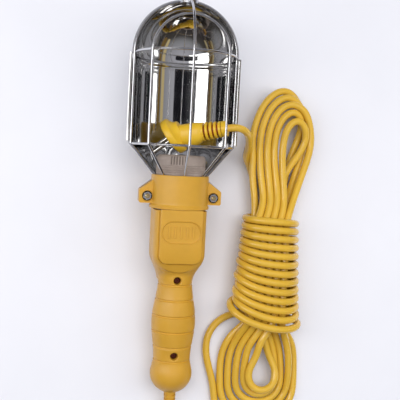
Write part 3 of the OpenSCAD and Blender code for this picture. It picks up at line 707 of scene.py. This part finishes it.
def trim():
    """Small rivets at the lower end of the right rolled edge, and weld beads where wires cross."""
    parts = []
    for x, z in ((43.4, 218.5), (42.9, 214.4)):
        prof = [(0.0, 0.0), (1.2, 0.0), (1.15, 0.45), (0.8, 0.8), (0.0, 0.95)]
        part = lathe(prof, 20)
        m = Matrix.Translation((x, -0.25, z)) @ Matrix.Rotation(math.pi / 2, 4, "X")
        parts.append(moved(part, m))
    v, f = joined(parts)
    make("reflector_rivets", v, f, WIRE, angle=60)
    blobs = []
    ring_at = 43.4
    for z in (212.0, 288.0):
        for deg in (-135, -90, -45):
            a = math.radians(deg)
            c = Vector((ring_at * math.cos(a), ring_at * math.sin(a), z))
            prof = [(1.35 * math.sin(math.pi * i / 8), -1.2 * math.cos(math.pi * i / 8)) for i in range(9)]
            blobs.append(moved(lathe(prof, 14), Matrix.Translation(c)))
    v, f = joined(blobs)
    make("weld_beads", v, f, WIRE, angle=60)


def ear_hardware():
    rims, nuts, ends, gaps = [], [], [], []
    for x, turn in ((-BOLT_X, 0.35), (BOLT_X, 0.12)):
        m = Matrix.Translation((x, -7.0, BOLT_Z)) @ Matrix.Rotation(math.pi / 2, 4, "X")
        rims.append(moved(lathe([(4.25, -0.3), (4.3, 0.6), (4.5, 0.85), (4.8, 0.8), (5.0, 0.5), (5.05, -0.3)], 48), m))
        # a thin dark disc round each nut: painted shade in the nut's pocket
        gaps.append(moved(lathe([(0.0, -0.2), (4.35, -0.2), (4.35, 0.12), (0.0, 0.12)], 48), m))
        rings = []
        for z, size, cut in ((0.1, 3.2, 0.0), (1.7, 3.2, 0.0), (2.15, 3.2, 0.5), (2.15, 2.5, 1.0)):
            ring = []
            for k in range(48):
                a = 2 * math.pi * k / 48
                hexa = size / math.cos((a % (math.pi / 3)) - math.pi / 6)
                ring.append((min(hexa, size / math.cos(math.pi / 6) - cut) * math.cos(a),
                             min(hexa, size / math.cos(math.pi / 6) - cut) * math.sin(a), z))
            rings.append(ring)
        nuts.append(moved(loft(rings), m @ Matrix.Rotation(turn, 4, "Z")))
        turns = [(0.0, 1.9)]
        r = 2.05
        for i in range(4):
            turns += [(r, 1.9 + i * 0.35), (r - 0.22, 2.07 + i * 0.35)]
        turns += [(1.75, 3.45), (1.2, 3.6), (0.0, 3.62)]
        ends.append(moved(lathe(turns, 32), m))
    for name, parts, mat, slot in (("ear_rims", rims, HANDLE, "handle_plastic"), ("ear_nuts", nuts, ZINC, "zinc_steel"),
                                   ("bolt_ends", ends, GOLD_ZINC, "zinc_steel"),
                                   ("ear_pocket_shade", gaps, DARK_STEEL_AND_SHADE, "zinc_steel")):
        v, f = joined(parts)
        obj = make(name, v, f, mat, angle=35)
        if name == "ear_nuts":
            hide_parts("clamp_nuts")


# ---- plug ----
PLUG_DIR = Vector((43.4, -18.5, 8.5))
PLUG_M = (Matrix.Translation((-5.5, 14, 220.3))
          @ Matrix.Rotation(math.atan2(PLUG_DIR.y, PLUG_DIR.x), 4, "Z")
          @ Matrix.Rotation(math.acos(PLUG_DIR.z / PLUG_DIR.length), 4, "Y"))
FACE_M = PLUG_M @ Matrix.Rotation(math.radians(-26), 4, "Y")


def plug():
    disc_profile = [(0.0, -3.4), (14.6, -3.4), (15.6, -3.2), (16.2, -2.6), (16.4, -1.8), (16.4, 1.4), (16.2, 2.2),
                    (15.7, 2.8), (14.8, 3.2), (12.4, 4.2), (10.4, 6.2), (9.0, 9.0), (0.0, 9.5)]
    parts = [moved(lathe(disc_profile, 72), FACE_M)]
    rings = []
    for z, r, wob in ((1.0, 8.2, 0.0), (4, 8.6, 0.2), (8, 8.8, 0.9), (13, 8.8, 1.8), (18, 8.8, 2.2), (22, 8.7, 1.2),
                      (24.5, 8.5, 0.2), (25.8, 7.9, 0.0), (26.2, 6.6, 0.0)):
        ring = []
        for k in range(48):
            a = 2 * math.pi * k / 48
            c, s = math.cos(a), math.sin(a)
            n = 2.5
            rr = r * (abs(c) ** n + abs(s) ** n) ** (-1 / n)
            ring.append((rr * c + wob * max(0.0, c) ** 2 * 1.3, rr * s, z))
        rings.append(ring)
    parts.append(moved(loft(rings), PLUG_M))
    # ribbed boot: a dark core with five collars and a longer end collar
    length = PLUG_DIR.length
    parts.append(moved(lathe([(3.35, length - 5.2), (4.9, length - 4.8), (6.7, length - 4.5),
                              (6.9, length - 3.9), (6.6, length - 0.3), (6.2, length), (3.35, length)], 48), PLUG_M))
    v, f = moved(lathe([(3.35, 25.5), (5.2, 25.5), (5.0, length - 4.4), (3.35, length - 4.4)], 48), PLUG_M)
    core = make("boot_core", v, f, BOOT_CORE_DARK_RED, angle=60)
    for i in range(5):
        z0 = 25.4 + i * 3.8
        r = 8.3 - 0.33 * i
        prof = [(4.5, z0), (r - 0.35, z0), (r, z0 + 0.3), (r - 0.05, z0 + 1.95), (r - 0.4, z0 + 2.25), (4.5, z0 + 2.25)]
        parts.append(moved(lathe(prof, 48), PLUG_M))
    v, f = joined(parts)
    obj = make("plug_shell", v, f, PLUG, angle=38)
    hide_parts("plug_body")
    return obj, core


# ---- cord ----
def build_cord(plug_pieces):
    path = smooth_chain(guide(), 4.0)
    path = relax(path, fixed=((0, 6), (len(path) - 10, len(path))))
    path = smooth_chain(path, 2.0)
    curve = bpy.data.curves.new("mains_cord", "CURVE")
    curve.dimensions = "3D"
    spline = curve.splines.new("POLY")
    spline.points.add(len(path) - 1)
    flat = np.ones((len(path), 4))
    flat[:, :3] = path * MM
    spline.points.foreach_set("co", flat.ravel())
    curve.bevel_depth = D / 2 * MM
    curve.bevel_resolution = 5
    curve.use_fill_caps = True
    spline.use_smooth = True
    curve.materials.append(CORD)
    obj = bpy.data.objects.new("mains_cord", curve)
    scene.collection.objects.link(obj)
    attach(obj, "lamp")
    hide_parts("cord_tail", "cord_hank", "cord_lead")
    length = float(np.linalg.norm(np.diff(path, axis=0), axis=1).sum()) * MM
    print("cord length", round(length, 4))
    return obj


dress_cad()
build_cord(plug())
handle_front()
panel()
screw_heads()
holder()
reflector()
trim()
ear_hardware()


# ---- stage and light ----
def floor():
    size = 3.0
    mesh = bpy.data.meshes.new("floor")
    mesh.from_pydata([(-size, -size, 0), (size, -size, 0), (size, size, 0), (-size, size, 0)], [], [(0, 1, 2, 3)])
    obj = bpy.data.objects.new("floor", mesh)
    scene.collection.objects.link(obj)
    mat, tree, bsdf = nodes_of("floor_paper")
    tex = noise(tree, 14.0)
    col = ramp(tree, tex.outputs["Fac"], [(0.3, (0.78, 0.785, 0.84, 1)), (0.7, (0.80, 0.805, 0.86, 1))])
    tree.links.new(col.outputs["Color"], bsdf.inputs["Base Color"])
    bsdf.inputs["Roughness"].default_value = 0.75
    mesh.materials.append(mat)


def backdrop():
    """A pale wall far behind, seen by the camera only."""
    r, h, n = 2.4, 2.6, 96
    pts = [(r * math.cos(2 * math.pi * k / n), r * math.sin(2 * math.pi * k / n), z) for z in (-0.01, h)
           for k in range(n)]
    mesh = bpy.data.meshes.new("backdrop")
    mesh.from_pydata(pts, [], [(k, (k + 1) % n, n + (k + 1) % n, n + k) for k in range(n)] + [tuple(range(n, 2 * n))])
    mesh.shade_smooth()
    obj = bpy.data.objects.new("backdrop", mesh)
    scene.collection.objects.link(obj)
    mat, tree, bsdf = nodes_of("backdrop_paper")
    bsdf.inputs["Base Color"].default_value = (0, 0, 0, 1)
    bsdf.inputs["Specular IOR Level"].default_value = 0.0
    bsdf.inputs["Emission Color"].default_value = (0.52, 0.53, 0.57, 1)
    bsdf.inputs["Emission Strength"].default_value = 1.0
    mesh.materials.append(mat)
    obj.visible_glossy = False
    obj.visible_diffuse = False
    obj.visible_shadow = False
    obj.visible_transmission = False


def rounded(w, h, count=10):
    """A rectangle whose corners are quarter ellipses."""
    pts = []
    rx, ry = w * 0.3, h * 0.12
    for cx, cy, a0 in ((w / 2 - rx, h / 2 - ry, 0), (-w / 2 + rx, h / 2 - ry, 90), (-w / 2 + rx, -h / 2 + ry, 180),
                       (w / 2 - rx, -h / 2 + ry, 270)):
        for i in range(count + 1):
            a = math.radians(a0 + 90 * i / count)
            pts.append((cx + rx * math.cos(a), cy + ry * math.sin(a), 0.0))
    return pts


def around(angle, reach, y=0.05):
    """A point over the lamp at an angle from straight up, to the right where positive."""
    a = math.radians(angle)
    return (reach * math.sin(a), y, reach * math.cos(a) + 0.03)


def card(name, angles, reach, span, color, strength=1.0):
    """A flat card that only reflections see, between two angles over the lamp."""
    half = math.radians(angles[1] - angles[0]) / 2
    mid = (angles[0] + angles[1]) / 2
    pts = rounded(2 * reach * math.tan(half), span[1] - span[0])
    mesh = bpy.data.meshes.new(name)
    mesh.from_pydata(pts, [], [tuple(range(len(pts)))])
    obj = bpy.data.objects.new(name, mesh)
    scene.collection.objects.link(obj)
    at = Vector(around(mid, reach, (span[0] + span[1]) / 2))
    obj.matrix_world = Matrix.Translation(at) @ Matrix.Rotation(math.radians(mid), 4, "Y")
    mat, tree, bsdf = nodes_of(name)
    bsdf.inputs["Base Color"].default_value = (0, 0, 0, 1)
    bsdf.inputs["Roughness"].default_value = 1.0
    bsdf.inputs["Specular IOR Level"].default_value = 0.0
    bsdf.inputs["Emission Color"].default_value = (*color, 1)
    bsdf.inputs["Emission Strength"].default_value = strength
    mesh.materials.append(mat)
    obj.visible_camera = False
    obj.visible_shadow = False
    obj.visible_diffuse = False


def area(name, at, look, size, power, color=(1, 1, 1), glossy=False):
    light = bpy.data.lights.new(name, "AREA")
    light.shape = "RECTANGLE"
    light.size, light.size_y = size
    light.energy = power
    light.color = color
    obj = bpy.data.objects.new(name, light)
    scene.collection.objects.link(obj)
    way = Vector(look) - Vector(at)
    obj.matrix_world = Matrix.Translation(at) @ way.to_track_quat("-Z", "Y").to_matrix().to_4x4()
    obj.visible_glossy = glossy


def lighting():
    scene.view_settings.view_transform = "Standard"
    world = bpy.data.worlds.new("studio")
    scene.world = world
    world.use_nodes = True
    tree = world.node_tree
    back = tree.nodes["Background"]
    coord = tree.nodes.new("ShaderNodeTexCoord")
    split = tree.nodes.new("ShaderNodeSeparateXYZ")
    tree.links.new(coord.outputs["Generated"], split.inputs["Vector"])
    sky = ramp(tree, split.outputs["Z"], [
        (0.0, (0.10, 0.09, 0.09, 1)), (0.30, (0.035, 0.03, 0.03, 1)), (0.55, (0.06, 0.055, 0.05, 1)),
        (0.70, (0.22, 0.22, 0.23, 1)), (0.90, (0.34, 0.34, 0.37, 1)), (1.0, (0.42, 0.42, 0.46, 1))])
    tree.links.new(sky.outputs["Color"], back.inputs["Color"])
    back.inputs["Strength"].default_value = 1.0
    aim = (0.02, 0.03, 0.03)
    area("left_box", around(-47.5, 0.85, 0.05), aim, (0.315, 1.1), 4.2, glossy=True)
    area("right_box", around(46, 0.85, 0.0), aim, (0.4, 1.0), 3.0)
    sun = bpy.data.lights.new("soft_sun", "SUN")
    sun.energy = 1.42
    sun.angle = math.radians(50)
    obj = bpy.data.objects.new("soft_sun", sun)
    scene.collection.objects.link(obj)
    obj.matrix_world = Matrix.Rotation(math.radians(-14), 4, "X")
    obj.visible_glossy = False
    card("dark_middle", (-34.5, 16), 0.62, (-0.014, 0.100), (0.010, 0.010, 0.013))
    card("gold_right", (40, 47), 0.6, (-0.4, 0.5), (0.50, 0.40, 0.20))
    card("brown_right", (49, 59), 0.6, (-0.4, 0.5), (0.16, 0.10, 0.035))
    card("gold_left", (-64, -60), 0.6, (-0.4, 0.5), (0.36, 0.29, 0.15))
    card("brown_left", (-74, -66), 0.6, (-0.4, 0.5), (0.14, 0.08, 0.02))


floor()
backdrop()
lighting()
